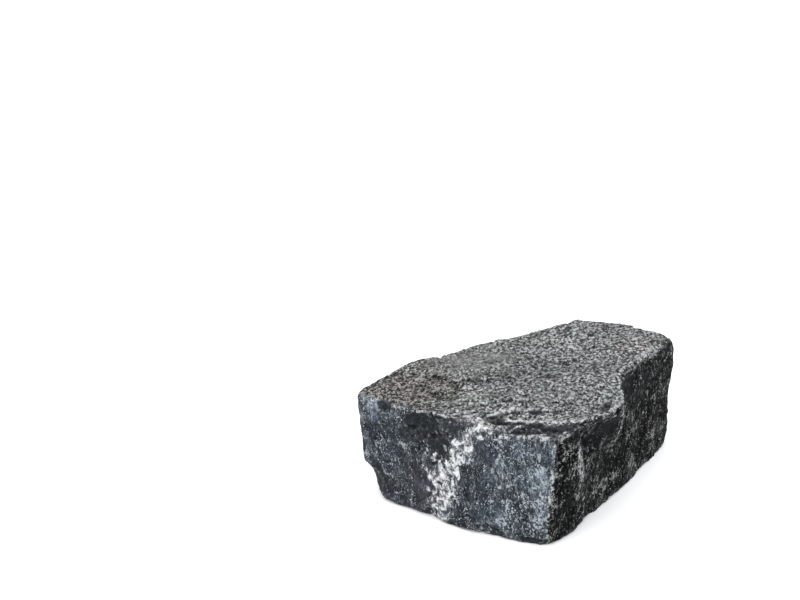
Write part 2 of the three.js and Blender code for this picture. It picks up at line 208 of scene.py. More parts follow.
# Raised lines along which the stone is worn pale
WORN_LINES = [
    # The step along the front of the top, the rim below it, and the edges on the bevel
    Line([(-36, 23, 72), (-27, 27, 71), (-19.5, 30.5, 72), (-4.5, 28, 73), (3, 27.5, 73.5)], 1.5, 1.0),
    Line([(-24.5, 21.5, 70.5), (-16, 20, 70.5), (-11, 18.5, 70.5), (-4.5, 14, 71.5)], 2.2, 1.0),
    Line([(-4.5, 14, 71.5), (1, 13.5, 72), (9, 11.5, 73.5), (15, 13.5, 73), (19, 13.5, 73.5)], 2.8, 1.0),
    Line([(-29, 9, 65.5), (-25.5, 8, 68), (-23, 9.5, 70), (-17.5, 14, 70.5)], 1.3, 1.0),
    Line([(-23, 10, 70), (-18, 12, 70.5), (-12, 12, 70.5), (-7, 9.5, 71), (-4, 5.5, 70.5)], 0.9, 0.7),
    # The shoulder at the top of the front wall, and the front edge under it
    Line([(-29, 9, 64.5), (-22, 7, 68), (-14.5, 4, 68), (-4.5, 2.5, 68), (0, 0, 64)], 1.6, 1.0),
    Line([(0, 0, 64), (0, 0, 47), (-1, 0, 34), (-2, 0, 22), (-2, 0, 13), (0, 0, 1)], 2.0, 0.9),
    # The curved ridge from the shoulder up to the rim
    Line([(0, 0, 65), (3, 1.4, 67), (7.6, 3.6, 68.5), (12.7, 5.6, 70), (16.3, 8.1, 71)], 2.6, 0.7),
    # The rim round the lump and along the right wall
    Line([(19, 11, 73.5), (25, 17, 73.5), (33, 23.5, 73.5), (39, 31, 73.5), (42.5, 40, 74)], 2.2, 0.9),
    Line([(42.5, 40, 74), (43.5, 50, 74), (44, 61, 74), (46, 73, 74.5)], 1.8, 1.0),
    Line([(46, 73, 74.5), (54, 84, 74.5), (66, 98, 74), (74, 108, 74)], 2.6, 0.85),
    # The ridge at the right of the corner facet, and a line on the facet
    Line([(21, 14.5, 68), (18.5, 12.5, 63), (15.6, 9.4, 58.4)], 2.6, 0.75),
    Line([(15.6, 9.4, 58.4), (15.2, 9.2, 53), (16.3, 10.3, 46.5), (17.6, 11.8, 38.5)], 5.6, 0.9),
    Line([(17.6, 11.8, 38.5), (19.5, 16.2, 28.4), (21.2, 20.8, 18.7), (21, 22, 8)], 3.8, 0.7),
    Line([(4, 1.5, 66), (5.5, 2.5, 62), (7.5, 3.5, 58)], 1.0, 0.7),
    # The edges of the lump's scallop
    Line([(24, 22, 62), (31, 22, 69), (39, 29.5, 70), (43, 37, 68)], 1.4, 0.8),
    Line([(42, 35, 69), (42.5, 37.5, 61), (42, 39.5, 53), (39.5, 40.5, 45)], 2.2, 1.0),
    Line([(39.5, 40.5, 45), (36, 41.5, 39), (33, 42, 33)], 1.7, 0.9),
    Line([(26.5, 28, 46), (32, 30.5, 47)], 1.2, 0.6),
    # The edge over the undercut left end
    Line([(-106, 55, 25), (-101.5, 51, 22), (-97.5, 48, 19), (-94, 47, 13.5)], 1.0, 0.4),
    # The left rim of the front wall, and the lines that fan down across the wall
    Line([(-28, 8.5, 65), (-29, 8.5, 58), (-30, 10, 49.5), (-33, 11, 43)], 1.5, 1.0),
    Line([(-33, 11, 43), (-30, 10, 36), (-28, 9.5, 32)], 1.3, 0.8),
    Line([(-18, 5.5, 58), (-13.5, 5, 46.5), (-9, 2.5, 35), (-4, 0.5, 23.5)], 1.5, 0.6),
    Line([(-24, 9, 44), (-20.5, 7.5, 37.5), (-17.5, 5.5, 30), (-10, 3, 18)], 1.2, 0.55),
    Line([(-35, 11, 8), (-34.5, 10.5, 14), (-32, 9.5, 20.5)], 1.0, 0.5),
    # The rim over the dark scar, and the edges inside it
    Line([(-88, 42, 67.5), (-84, 38.5, 66.5), (-81, 36, 68.5), (-77.5, 33.5, 68.5)], 1.3, 0.9),
    Line([(-77.5, 33.5, 68.5), (-73, 32, 69.5), (-66, 28, 70.8), (-57, 20.5, 71)], 1.7, 1.0),
    Line([(-56, 20.5, 70), (-58.5, 21, 62), (-55.5, 19.5, 58)], 1.1, 0.75),
    Line([(-91, 42.8, 62), (-88, 42, 68)], 0.8, 0.8),
    # The scratched left end
    Line([(-107, 53.5, 57), (-102, 49, 65), (-98.5, 47.5, 69.5)], 1.3, 0.8),
    Line([(-106, 53.5, 48), (-102, 50, 55.5), (-96, 45.5, 62.5)], 0.9, 0.7),
    Line([(-98, 47, 58), (-91.5, 43, 59.5), (-87, 40, 61.5)], 0.9, 0.7),
    # Crests on the top
    Line([(-96, 67.5, 70), (-89, 71.5, 70), (-82, 75, 70), (-75, 82, 70)], 1.4, 0.6),
    Line([(-61, 54, 70), (-54.5, 50, 70), (-44.5, 43, 72), (-34, 47, 72), (-27, 51, 72)], 1.8, 0.6),
    Line([(-48, 87, 70), (-37, 92, 70), (-26, 96, 70), (-12, 99, 70)], 1.3, 0.5),
    Line([(-43, 74, 70), (-35, 77, 70), (-25, 81, 70), (-16, 76.5, 71.5)], 1.2, 0.55),
    Line([(10, 73, 73), (22, 77, 74), (33, 71, 74)], 1.2, 0.5),
    # Low on the front wall
    Line([(-14, 4, 6), (-8.5, 2.5, 7), (-3, 1, 5)], 1.0, 0.8),
]

# Cracks cut in under the rims, in the top and down the back, painted dark as the shade in them
CRACKS = [
    # Under the step along the front of the top, and across the bevel under the rim
    Line([(-32, 19, 71), (-28, 19, 70.5), (-23, 18.5, 70), (-17, 17.5, 70)], 2.9, 1.0),
    Line([(-20, 28.2, 71), (-12, 28.6, 71.5), (-4.5, 25.8, 72)], 1.4, 0.8),
    Line([(-22, 8, 70), (-18.5, 9, 70.5), (-13, 9, 70.5), (-8.5, 7.5, 71), (-4.5, 5.5, 71)], 1.9, 0.9),
    Line([(-5, 9.5, 71.5), (1, 7.5, 72), (6.5, 6.5, 72.5), (12, 7, 73), (16, 9, 73)], 2.6, 1.0),
    # Over the dark scar
    Line([(-66.5, 26, 69), (-63, 23.5, 69.5), (-60, 21.5, 70)], 1.3, 1.0),
    # In the top
    Line([(-94, 71.5, 70), (-90.5, 75, 70), (-85.5, 81, 70)], 2.4, 0.7),
    Line([(-48, 69, 70), (-42, 68.5, 70), (-35, 69.5, 70), (-25.5, 71.5, 70.5)], 2.2, 0.55),
    Line([(-52, 60, 70), (-46, 57, 70), (-40, 58, 71)], 1.6, 0.5),
    # Down the back
    Line([(-30, 130, 66), (-34, 128, 52), (-31, 128, 38), (-38, 122, 22)], 1.4, 0.8),
    Line([(44, 148, 60), (48, 148, 44), (40, 148, 30)], 1.4, 0.7),
]

# Steps where a thin layer of the top broke away on the near side: the points along each, from the left,
# and its drop.
Step = namedtuple("Step", "points drop")
STEPS = [
    Step([(-38, 22), (-27, 26.5), (-19.5, 30.5), (-15, 30.5), (-4.5, 28), (3, 27.5), (10, 29)], 1.3),
    Step([(-56, 60), (-47, 67), (-40, 66), (-34, 71), (-24.5, 69), (-14, 73)], 0.9),
    Step([(-92, 58), (-80, 62), (-70, 58), (-58, 50), (-46, 52)], 0.7),
    Step([(-64, 36), (-52, 38), (-42, 34), (-30, 37), (-16, 44)], 0.8),
    Step([(6, 38), (15, 34), (24, 36), (30, 44)], 0.8),
    Step([(-8, 96), (6, 88), (20, 92), (34, 84)], 0.7),
    Step([(22, 120), (38, 112), (52, 116), (66, 108)], 0.6),
]

# Pale mineral veins: the points of each one's middle line, its width and its strength.
Vein = namedtuple("Vein", "points width strength")
VEINS = [
    # The band down the left wall, from its top
    Vein([(-39.5, 13, 70), (-43.5, 14, 66), (-47, 15, 60)], 18, 1.0),
    Vein([(-47, 15, 60), (-50, 16.5, 51), (-56, 20, 43)], 22, 1.0),
    Vein([(-56, 20, 43), (-61, 22.5, 32), (-60, 22, 22)], 33, 0.9),
    Vein([(-60, 22, 22), (-61, 23.5, 12), (-63, 25.5, 2)], 27, 0.8),
    # Where it runs on over the top, faintly, and two small ones at its right
    Vein([(-37, 12, 70), (-36, 28, 72), (-30, 50, 72)], 14, 0.22),
    Vein([(-31, 9, 49), (-33, 11, 42)], 11, 0.5),
    Vein([(-34, 10, 12), (-36, 11, 2)], 9, 0.5),
    # Where it comes out at the back
    Vein([(-15, 129, 72), (-17, 127, 63), (-26, 129, 36), (-23, 126, 4)], 17, 0.7),
]

# Patches where the stone wanders from its usual look: each one's middle, its reach along x, y and z, the
# red, green and blue that multiply the colour there, and how much of the usual grain and flecks it has.
Patch = namedtuple("Patch", "at reach tint grain")
PATCHES = [
    # The left and front walls
    Patch((-104, 51, 64), (13, 13, 11), (2.5, 2.45, 2.55), 1.3),
    Patch((-94, 44, 42), (14, 14, 24), (1.0, 1.06, 1.12), 1.0),
    Patch((-80, 37, 24), (20, 18, 22), (1.2, 1.18, 1.16), 1.0),
    Patch((-70, 32, 22), (15, 16, 14), (1.15, 1.0, 1.06), 0.35),
    Patch((-90, 46, 9), (12, 12, 9), (1.05, 0.95, 1.05), 0.4),
    Patch((-73, 33, 4), (12, 12, 8), (1.5, 1.42, 1.5), 0.8),
    Patch((-22, 7, 57), (16, 9, 13), (1.2, 1.25, 1.27), 1.1),
    Patch((-37, 12, 54), (8, 8, 10), (0.85, 0.82, 0.9), 0.35),
    Patch((-3, 1, 36), (7, 7, 36), (1.45, 1.5, 1.55), 1.5),
    Patch((-12, 3, 44), (9, 7, 12), (1.2, 1.25, 1.3), 1.5),
    Patch((-38, 12, 22), (12, 12, 22), (0.74, 0.76, 0.8), 0.9),
    Patch((-7, 2, 56), (10, 6, 12), (1.3, 1.36, 1.4), 1.2),
    Patch((-59, 22, 64), (9, 8, 8), (1.8, 1.8, 1.8), 0.9),
    Patch((-34, 10, 15), (12, 8, 13), (1.55, 1.55, 1.6), 1.3),
    Patch((-94, 45, 63), (9, 9, 7), (1.5, 1.5, 1.55), 1.1),
    # The top
    Patch((-84, 58, 72), (44, 34, 12), (0.66, 0.605, 0.57), 1.2),
    Patch((-58, 66, 72), (20, 24, 12), (0.94, 0.95, 0.91), 1.1),
    Patch((-42, 95, 72), (36, 27, 12), (1.19, 1.17, 1.14), 0.36),
    Patch((0, 124, 72), (30, 12, 12), (0.9, 0.89, 0.88), 1.0),
    Patch((-44, 44, 72), (18, 9, 12), (1.22, 1.27, 1.22), 0.6),
    Patch((-37, 68, 72), (24, 5, 12), (0.62, 0.62, 0.62), 1.0),
    Patch((-12, 68, 72), (16, 20, 12), (0.77, 0.77, 0.77), 1.1),
    Patch((-24, 43, 72), (10, 9, 12), (0.8, 0.8, 0.8), 1.0),
    Patch((-56, 26, 73), (9, 8, 8), (1.35, 1.35, 1.35), 1.0),
    Patch((42, 101, 73), (15, 13, 12), (1.3, 1.3, 1.3), 1.0),
    Patch((12, 82, 73), (30, 24, 12), (0.86, 0.88, 0.88), 1.0),
    Patch((38, 45, 74), (14, 20, 12), (1.28, 1.32, 1.3), 0.9),
    Patch((8, 45, 73), (20, 10, 12), (1.15, 1.17, 1.18), 0.7),
    Patch((63, 112, 74), (24, 18, 12), (1.1, 1.05, 1.03), 0.85),
    # The right wall
    Patch((8, 4, 36), (6, 6, 22), (0.8, 0.83, 0.85), 0.4),
    Patch((16.5, 10.5, 43), (4.5, 4.5, 26), (2.2, 2.2, 2.2), 1.8),
    Patch((62, 86, 60), (12, 16, 14), (1.5, 1.9, 1.9), 1.2),
    Patch((12, 7, 14), (9, 9, 14), (0.7, 0.7, 0.7), 0.5),
    Patch((34, 43, 14), (13, 13, 9), (1.6, 1.6, 1.6), 1.5),
    Patch((47, 58, 24), (10, 12, 10), (0.9, 0.9, 0.9), 0.5),
    Patch((56, 72, 12), (12, 14, 9), (1.5, 1.5, 1.45), 1.4),
    Patch((66, 90, 42), (9, 12, 12), (0.9, 0.95, 0.95), 0.5),
    Patch((72, 100, 30), (14, 20, 24), (1.15, 1.0, 0.95), 1.0),
    # The back
    Patch((20, 148, 40), (40, 20, 30), (0.9, 0.95, 1.0), 0.7),
    Patch((-60, 108, 40), (26, 26, 24), (1.15, 1.1, 1.1), 0.8),
]


def unit(vector):
    """The direction of a vector."""
    vector = np.asarray(vector, float)
    return vector / np.linalg.norm(vector)


def fade(value, low, high):
    """A smooth step from 0 at low to 1 at high."""
    share = np.clip((value - low) / (high - low), 0, 1)
    return share * share * (3 - 2 * share)


def lumps(points, size, seed, octaves=1):
    """Smooth noise from about -1 to 1, with lumps of this size: one number, or one for each axis."""
    scaled = points / np.asarray(size, float) + seed * SEED_SHIFT
    return np.array([noise.fractal(place, OCTAVE_FALL, OCTAVE_RATIO, octaves) for place in scaled.tolist()])


def ridges(points, size, seed):
    """Noise from 0 to 1 that comes to sharp crests."""
    return 1 - np.minimum(np.abs(lumps(points, size, seed)) * RIDGE_SHARPNESS, 1)


class Surface:
    """The stone's surface: its corners, in mm from the front toe, and the quads between them."""

    def __init__(self, mesh):
        corners = np.empty(len(mesh.vertices) * 3)
        mesh.vertices.foreach_get("co", corners)
        self.points = corners.reshape(-1, 3) / MM - FRONT_TOE
        loops = np.empty(len(mesh.loops), int)
        mesh.loops.foreach_get("vertex_index", loops)
        self.quads = loops.reshape(-1, 4)
        edges = np.empty(len(mesh.edges) * 2, int)
        mesh.edges.foreach_get("vertices", edges)
        # Each edge counts twice, once from each end
        ends = edges.reshape(-1, 2)
        self.here, self.there = np.concatenate([ends, ends[:, ::-1]]).T
        self.neighbours = np.bincount(self.here, minlength=len(self.points))

    def around(self, values):
        """The mean of each corner's neighbours."""
        columns = values.reshape(len(values), -1).T
        sums = [np.bincount(self.here, column[self.there], len(values)) for column in columns]
        return (np.array(sums) / self.neighbours).T.reshape(values.shape)

    def smooth(self, values, times):
        """The values spread evenly over their neighbours."""
        for _ in range(times):
            values = (values + self.around(values)) / 2
        return values

    def normals(self, points=None):
        """The way the surface faces at each corner."""
        points = self.points if points is None else points
        corners = self.quads.T
        a, b, c, d = (points[corner] for corner in corners)
        facing = np.cross(c - a, d - b)
        sums = [sum(np.bincount(corner, side, len(points)) for corner in corners) for side in facing.T]
        total = np.array(sums).T
        return total / np.maximum(np.linalg.norm(total, axis=1, keepdims=True), TINY)

    def free(self):
        """How freely each corner may move up or down: not at all on the resting face."""
        return fade(self.points[:, 2], HELD_FOOT, FLAT_FOOT)

    def push(self, amounts, directions=None):
        """Moves each corner by its own amount, outward or the given way. The resting face stays flat."""
        moves = (self.normals() if directions is None else directions) * amounts[:, None]
        moves[:, 2] *= self.free()
        self.points = self.points + moves

    def bend(self, points):
        """How far each point stands out from its neighbours, in mm: more than 0 on an edge."""
        return ((points - self.around(points)) * self.normals(points)).sum(1)


def placed(name, data):
    """A new object in the scene."""
    thing = bpy.data.objects.new(name, data)
    bpy.context.scene.collection.objects.link(thing)
    return thing


def fine_copy(node):
    """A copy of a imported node, rebuilt as small even quads."""
    rough = placed("rough", node.data.copy())
    remesh = rough.modifiers.new("fine", "REMESH")
    remesh.mode = "VOXEL"
    remesh.voxel_size = MESH_SIZE * MM
    remesh.adaptivity = 0
    depsgraph = bpy.context.evaluated_depsgraph_get()
    mesh = bpy.data.meshes.new_from_object(rough.evaluated_get(depsgraph))
    bpy.data.objects.remove(rough)
    return mesh


def nearest(seeds, places):
    """The number of the seed nearest to each place."""
    tree = kdtree.KDTree(len(seeds))
    for i, seed in enumerate(seeds):
        tree.insert(seed, i)
    tree.balance()
    return np.array([tree.find(place)[1] for place in places])


def summed(owner, values, count):
    """The values of all the corners that belong to each owner, added up."""
    return np.array([np.bincount(owner, column, count) for column in values.T]).T


def flatten_facets(surface, facets):
    """Splits the surface into patches about this wide, and pulls each part of the way to its plane."""
    points, size, seed = surface.points, facets.size, facets.seed
    broad = surface.smooth(surface.normals(), 3)
    wobble = np.stack([lumps(points, size * 0.8, seed + i) for i in range(3)], 1) * size * FACET_WAVER
    places = points + wobble + broad * size * FACET_TURN
    count = int(len(points) * MESH_SIZE**2 / size**2)
    seeds = places[np.random.default_rng(seed).choice(len(points), count, replace=False)]
    owner = nearest(seeds, places)
    members = np.maximum(np.bincount(owner, minlength=count), 1)[:, None]
    middles = summed(owner, points, count) / members
    facing = summed(owner, broad, count)
    facing /= np.maximum(np.linalg.norm(facing, axis=1, keepdims=True), TINY)
    gap = ((middles[owner] - points) * facing[owner]).sum(1)
    limit = size * FACET_LIMIT
    surface.push(np.clip(gap, -limit, limit) * FACET_SHARE, facing[owner])


def hollow_axes(hollow):
    """The way a hollow faces, and the directions of its width and its height."""
    outward = unit(hollow.facing)
    up = AWAY if abs(outward[2]) > 0.9 else UP
    along = unit(np.cross(up, outward))
    across = np.cross(outward, along)
    turn = math.radians(hollow.roll)
    width_way = along * math.cos(turn) + across * math.sin(turn)
    height_way = across * math.cos(turn) - along * math.sin(turn)
    return outward, width_way, height_way


def cut_hollow(surface, hollow, wobble):
    """Dents the surface inside a hollow's outline, and returns how far inside it each corner is."""
    outward, width_way, height_way = hollow_axes(hollow)
    offset = surface.points - np.asarray(hollow.at, float)
    reach = np.hypot(offset @ width_way / (hollow.width / 2), offset @ height_way / (hollow.height / 2))
    reach = reach * (1 + HOLLOW_WAVER * wobble)
    inside = (reach < 1) & (np.abs(offset @ outward) < max(hollow.width, hollow.height) / 2)
    inside = inside * fade(surface.normals() @ outward, 0.35, 0.65)
    surface.push(-hollow.depth * inside * (1 - reach**2), outward)
    return inside * fade(1 - reach, 0, 0.12)


def chip_edges(surface, fresh_and_shade):
    """Shaves small flat chips off the sharpest edges, away from the hollows painted dark."""
    random = np.random.default_rng(SEEDS["chips"])
    sharp = fade(surface.bend(surface.smooth(surface.points, 2)), *SHARP_EDGE) * (1 - 0.9 * fresh_and_shade)
    normals = surface.normals()
    free = surface.free()
    for corner in random.choice(len(sharp), CHIPS, p=sharp / sharp.sum()):
        radius = random.uniform(*CHIP_REACH)
        offset = surface.points - surface.points[corner]
        reach = np.linalg.norm(offset, axis=1) / radius
        near = reach < 1
        outward = unit(normals[near].mean(0) + random.normal(0, CHIP_TILT, 3))
        height = offset[near] @ outward
        cut = height.mean() * random.uniform(*CHIP_CUT)
        moves = outward * (np.maximum(height - cut, 0) * fade(reach[near], 1, 0.75))[:, None]
        moves[:, 2] *= free[near]
        surface.points[near] -= moves


def undercut(surface):
    """Lifts the rim of the underside off the ground, unevenly, and hardly at all at the toe."""
    seen = (surface.normals()[:, 2] > -0.5).astype(float)
    near_rim = fade(surface.smooth(seen, 24), 0.03, 0.5)
    uneven = 0.55 + 0.45 * np.clip(lumps(surface.points, UNDERCUT_LUMPS, SEEDS["foot"], 2) * 1.5, -1, 1)
    aside = UNDERCUT_AT_TOE + (1 - UNDERCUT_AT_TOE) * fade(surface.points[:, 0], *TOE_END)
    height = surface.points[:, 2]
    lift = UNDERCUT * uneven * aside * near_rim * np.clip(1 - height / UNDERCUT_REACH, 0, 1)
    surface.points[:, 2] = height + lift


def snapped(surface, line):
    """The line with its points a millimetre or so apart, each moved to the surface."""
    path = np.array(line.points, float)
    lengths = np.concatenate([[0], np.cumsum(np.linalg.norm(np.diff(path, axis=0), axis=1))])
    places = np.linspace(0, lengths[-1], int(lengths[-1]) + 2)
    dense = np.stack([np.interp(places, lengths, path[:, axis]) for axis in range(3)], 1)
    closest = [np.linalg.norm(surface.points - point, axis=1).argmin() for point in dense]
    return line._replace(points=surface.points[closest])


def distance_to(points, path, limit):
    """How far each point is from a line through the path's points, where that is under the limit."""
    path = np.asarray(path, float)
    distance = np.full(len(points), float(limit))
    near = np.all((points > path.min(0) - limit) & (points < path.max(0) + limit), axis=1)
    close = points[near]
    for start, end in zip(path[:-1], path[1:]):
        along = end - start
        share = np.clip((close - start) @ along / max(along @ along, TINY), 0, 1)
        gap = np.linalg.norm(close - start - share[:, None] * along, axis=1)
        distance[near] = np.minimum(distance[near], gap)
    return distance


def beside(points, line, stray):
    """1 along the middle of a line, fading to 0 at its reach. Stray makes the line waver."""
    distance = distance_to(points, line.points, 3 * line.reach)
    return fade(distance + stray, line.reach, line.reach * 0.3)


def cut_step(surface, step, wobble):
    """Lowers the top in front of a step, less and less towards its ends and away from it."""
    path = np.array(step.points, float)
    flat = surface.points[:, :2] + wobble[:, None] * STEP_WAVER
    left, right = path[0, 0], path[-1, 0]
    ahead = np.interp(flat[:, 0], path[:, 0], path[:, 1]) - flat[:, 1]
    ends = fade(flat[:, 0], left, left + STEP_ENDS) * fade(flat[:, 0], right, right - STEP_ENDS)
    amount = step.drop * fade(ahead, 0, STEP_EDGE) * fade(ahead, *STEP_REACH) * ends * top_share(surface)
    surface.push(-amount, UP)


def cut_cracks(surface, stray):
    """Cuts the cracks in, and returns how far inside one each corner is."""
    inside = np.zeros(len(surface.points))
    for crack in [snapped(surface, crack) for crack in CRACKS]:
        near = beside(surface.points, crack, stray)
        surface.push(-CRACK_DEPTH * crack.strength * near)
        inside = np.maximum(inside, crack.strength * near)
    return inside


def raise_worn_lines(surface, stray):
    """Raises the worn lines a little, and returns them as they lie on the surface."""
    worn_lines = [snapped(surface, line) for line in WORN_LINES]
    for line in worn_lines:
        surface.push(WORN_HEIGHT * line.strength * beside(surface.points, line, stray))
    return worn_lines


def layered(height, step):
    """A height broken into thin level layers with steep edges."""
    level = height / step
    return step * (np.floor(level) + fade(level - np.floor(level), 0.7, 1.0))


def add_layers(surface, top):
    """Breaks the top into thin layers, with most of the rise and fall that they follow taken out again."""
    height = lumps(surface.points, LAYER_LUMPS, SEEDS["layers"], 3) * LAYER_RISE
    surface.push(top * (layered(height, LAYER) - height * 0.6) * 0.9, UP)


def add_grain(surface, fresh_and_shade, top):
    """Fine lumps all over, and streaks that run down the walls."""
    points = surface.points
    grain = lumps(points, GRAIN_LUMPS, SEEDS["grain"], 2) * GRAIN_HEIGHT
    grain += lumps(points, SWELL_LUMPS, SEEDS["swell"]) * SWELL_HEIGHT
    streaks = (ridges(points, STREAK_LUMPS, SEEDS["streaks"]) - 0.5) * STREAK_HEIGHT
    streaks += lumps(points, WAVE_LUMPS, SEEDS["waves"]) * WAVE_HEIGHT
    surface.push((top * grain + (1 - top) * (streaks + grain * 0.5)) * (1 - 0.75 * fresh_and_shade))


def sculpt(surface):
    """Breaks up the surface. Returns each corner's share of fresh dark and painted shade, and the worn
    lines as they lie on it.
    """
    surface.points = surface.smooth(surface.points, 6)
    for facets in FACETS:
        flatten_facets(surface, facets)
    wobble = lumps(surface.points, OUTLINE_LUMPS, SEEDS["outlines"], 2)
    stray = wobble * LINE_WAVER
    fresh_and_shade = np.zeros(len(surface.points))
    for hollow in HOLLOWS:
        fresh_and_shade = np.maximum(fresh_and_shade, cut_hollow(surface, hollow, wobble) * hollow.dark)
    for step in STEPS:
        cut_step(surface, step, wobble)
    undercut(surface)
    chip_edges(surface, fresh_and_shade)
    top = top_share(surface)
    add_layers(surface, top)
    # The cracks join the dark share as painted shade.
    fresh_and_shade = np.maximum(fresh_and_shade, cut_cracks(surface, stray))
    worn_lines = raise_worn_lines(surface, stray)
    add_grain(surface, fresh_and_shade, top)
    return fresh_and_shade, worn_lines


def top_share(surface):
    """1 on the top face, 0 on the walls."""
    broad = surface.smooth(surface.normals(surface.smooth(surface.points, 4)), 2)
    start, whole = (TOP_HEIGHT - depth for depth in TOP_REACH)
    return fade(broad[:, 2], *TOP_LEVEL) * fade(surface.points[:, 2], start, whole)


def keep_in_box(surface):
    """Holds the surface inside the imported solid's box, with its foot on the ground."""
    low, high = (np.array(corner, float) / MM - FRONT_TOE for corner in CAD_BOX)
    margin = np.array([INSIDE, INSIDE, 0.0])
    surface.points = np.clip(surface.points, low + margin, high - margin)


def patched(surface, top):
    """What the patches multiply each corner's colour by, and its share of grain."""
    points = surface.points
    stray = lumps(points, PATCH_LUMPS, SEEDS["patches"], 2) * 0.5
    tint = np.ones((len(points), 3))
    grain = np.ones(len(points))
    for patch in PATCHES:
        reach = np.linalg.norm((points - patch.at) / patch.reach, axis=1) + stray
        on_top = patch.at[2] > TOP_HEIGHT - 3
        share = fade(reach, 1.1, 0.3) * (top if on_top else 1 - top)
        tint *= np.array(patch.tint) ** share[:, None]
        grain *= patch.grain ** share
    return tint, grain


def worn_share(points, worn_lines):
    """How worn each corner is by the worn lines."""
    stray = LINE_WAVER * lumps(points, WEAR_LUMPS, SEEDS["wear"], 2)
    worn = np.zeros(len(points))
    for line in worn_lines:
        worn = np.maximum(worn, line.strength * beside(points, line, stray))
    return worn


def pale_share(points):
    """How strong the pale veins are at each corner."""
    stray = 0.6 * lumps(points, VEIN_LUMPS, SEEDS["veins"], 2)
    pale = np.zeros(len(points))
    for vein in VEINS:
        near = distance_to(points, vein.points, vein.width) / (vein.width / 2)
        pale = np.maximum(pale, vein.strength * fade(near + stray, 1.25, 0.1))
    return pale


def surface_masks(surface, fresh_and_shade, worn_lines, top):
    """What the material reads at each corner, by name."""
    points = surface.points
    calm = surface.smooth(points, 3)
    facing = surface.smooth(surface.normals(calm), 2)
    broad_edge = fade(surface.bend(calm), *BROAD_EDGE)
    fine = surface.bend(surface.smooth(points, 1))
    front = fade(facing @ FRONT_WALL, *FRONT_FACING) * fade(points[:, 0], *FRONT_END)
    return {
        "top": top,
        "right": fade(facing @ RIGHT_WALL, *RIGHT_FACING) * (1 - top),
        "front": front * (1 - top),
        "fresh_and_shade": fresh_and_shade,
        "worn": np.clip(np.maximum(worn_share(points, worn_lines), broad_edge * 0.6), 0, 1),
        "pale": pale_share(points),
        "crest": fade(fine, *CREST),
        "pit_shade": fade(-fine, *CREST),
    }


class Graph:
    """Short ways to add nodes to a material. Most return the new node's output."""

    def __init__(self, material):
        material.use_nodes = True
        self.nodes, self.links = material.node_tree.nodes, material.node_tree.links
        self.shader = self.nodes["Principled BSDF"]
        self.place = self.nodes.new("ShaderNodeTexCoord").outputs["Object"]

    def feed(self, socket, value):
        """Links another node's output to a socket, or sets the socket to a number or a colour."""
        if isinstance(value, bpy.types.NodeSocket):
            self.links.new(value, socket)
        elif isinstance(value, tuple) and len(value) == 3 and socket.type == "RGBA":
            socket.default_value = (*value, 1.0)
        else:
            socket.default_value = value

    def mask(self, name, output="Fac"):
        """What the mesh keeps under this name."""
        node = self.nodes.new("ShaderNodeAttribute")
        node.attribute_name = name
        return node.outputs[output]

    def calculate(self, operation, a, b=0.0):
        """What an operation makes of one or two numbers."""
        node = self.nodes.new("ShaderNodeMath")
        node.operation = operation
        self.feed(node.inputs[0], a)
        self.feed(node.inputs[1], b)
        return node.outputs[0]

    def times(self, *values):
        """All the values multiplied."""
        total = values[0]
        for value in values[1:]:
            total = self.calculate("MULTIPLY", total, value)
        return total

    def plus(self, a, b):
        """a and b added."""
        return self.calculate("ADD", a, b)

    def less(self, a, b):
        """b taken from a."""
        return self.calculate("SUBTRACT", a, b)

    def most(self, a, b):
        """The greater of a and b."""
        return self.calculate("MAXIMUM", a, b)

    def step(self, value, low, high, start=0.0, end=1.0):
        """A smooth step in value, from start at low to end at high."""
        node = self.nodes.new("ShaderNodeMapRange")
        node.interpolation_type = "SMOOTHSTEP"
        settings = {"Value": value, "From Min": low, "From Max": high, "To Min": start, "To Max": end}
        for name, number in settings.items():
            self.feed(node.inputs[name], number)
        return node.outputs[0]

    def mix(self, share, a, b):
        """Colour a where share is 0, b where it is 1."""
        node = self.nodes.new("ShaderNodeMix")
        node.data_type = "RGBA"
        self.feed(node.inputs[0], share)
        self.feed(node.inputs[6], a)
        self.feed(node.inputs[7], b)
        return node.outputs[2]

    def tinted(self, colour, tint):
        """A colour multiplied by another."""
        node = self.nodes.new("ShaderNodeVectorMath")
        node.operation = "MULTIPLY"
        self.feed(node.inputs[0], colour)
        self.feed(node.inputs[1], tint)
        return node.outputs[0]

    def scaled(self, colour, amount):
        """A colour made lighter or darker."""
        node = self.nodes.new("ShaderNodeVectorMath")
        node.operation = "SCALE"
        self.feed(node.inputs[0], colour)
        self.feed(node.inputs["Scale"], amount)
        return node.outputs[0]

    def grain(self, size, stretch=(1, 1, 1), turn=(0, 0, 0), detail=2.0, roughness=0.55, distortion=0.0):
        """Noise with lumps of this size in mm, stretched along each axis after a turn in degrees."""
        mapping = self.nodes.new("ShaderNodeMapping")
        mapping.vector_type = "TEXTURE"
        mapping.inputs["Rotation"].default_value = [math.radians(angle) for angle in turn]
        mapping.inputs["Scale"].default_value = [size * MM * share for share in stretch]
        self.feed(mapping.inputs["Vector"], self.place)
        texture = self.nodes.new("ShaderNodeTexNoise")
        self.feed(texture.inputs["Vector"], mapping.outputs[0])
        settings = {"Scale": 1.0, "Detail": detail, "Roughness": roughness, "Distortion": distortion}
        for name, value in settings.items():
            texture.inputs[name].default_value = value
        return texture.outputs[0]

    def bump(self, height, distance, strength):
        """The surface's direction as relief tilts it, for heights of 0 to 1 over a distance in mm."""
        node = self.nodes.new("ShaderNodeBump")
        node.inputs["Strength"].default_value = strength
        node.inputs["Distance"].default_value = distance * MM
        self.feed(node.inputs["Height"], height)
        return node.outputs[0]


